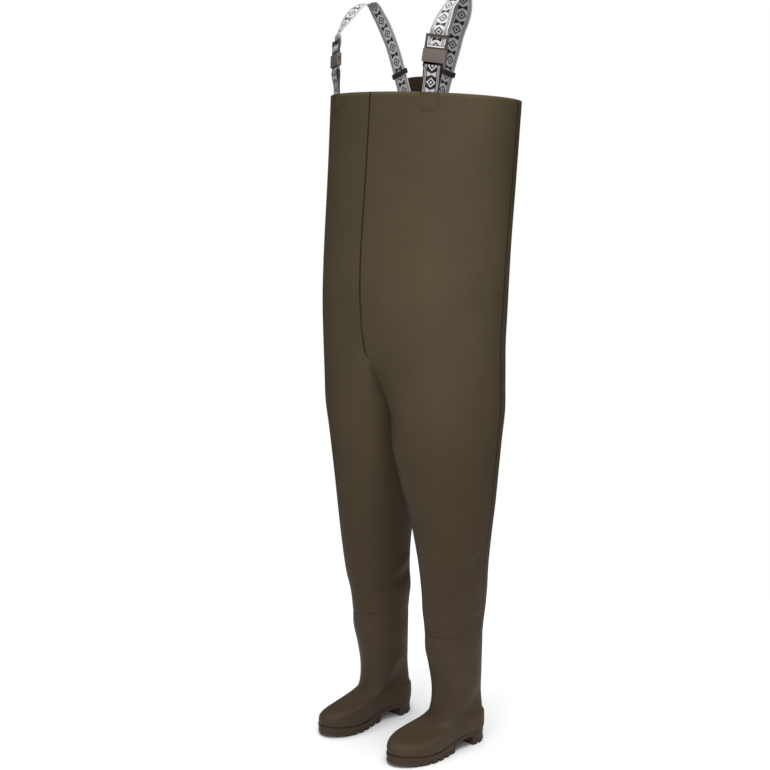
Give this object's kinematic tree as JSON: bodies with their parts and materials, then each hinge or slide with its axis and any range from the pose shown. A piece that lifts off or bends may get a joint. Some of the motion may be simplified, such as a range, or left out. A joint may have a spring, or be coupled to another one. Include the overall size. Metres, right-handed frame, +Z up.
{
  "type": "chest wader",
  "caption": "Chest wader with a one-piece PVC shell, two legs, moulded cleated boots and webbing braces with side-release buckles; stands empty on its soles.",
  "frame": {"origin": "on the floor, at the middle of the wader's footprint box", "axes": "+Z up, the wader faces -Y, the wearer's left is +X"},
  "size_m": [0.5072, 0.3739, 1.6829],
  "materials": {
    "coated_fabric": "satin PVC coating on fabric",
    "weld_tape": "satin PVC tape",
    "boot_pvc": "satin moulded PVC",
    "sole_pvc": "matt moulded PVC",
    "footbed": "felted knit",
    "webbing": "woven elastic webbing",
    "buckle": "satin moulded acetal"
  },
  "bodies": {
    "root": {"shell": "coated_fabric", "seam_front": "weld_tape", "seam_back": "weld_tape", "seam_side_left": "weld_tape", "seam_side_right": "weld_tape", "patch_front_left": "weld_tape", "patch_front_right": "weld_tape", "patch_back": "weld_tape", "boot_left": "boot_pvc", "boot_right": "boot_pvc", "outsole_left": "sole_pvc", "outsole_right": "sole_pvc", "insole_left": "footbed", "insole_right": "footbed", "strap_lower_left": "webbing", "strap_lower_right": "webbing", "strap_long_left": "webbing", "strap_long_right": "webbing", "strap_back": "webbing", "yoke": "boot_pvc", "buckle_socket_left": "buckle", "buckle_socket_right": "buckle", "buckle_plug_left": "buckle", "buckle_plug_right": "buckle", "slide_left": "buckle", "slide_right": "buckle"}
  },
  "joints": []
}
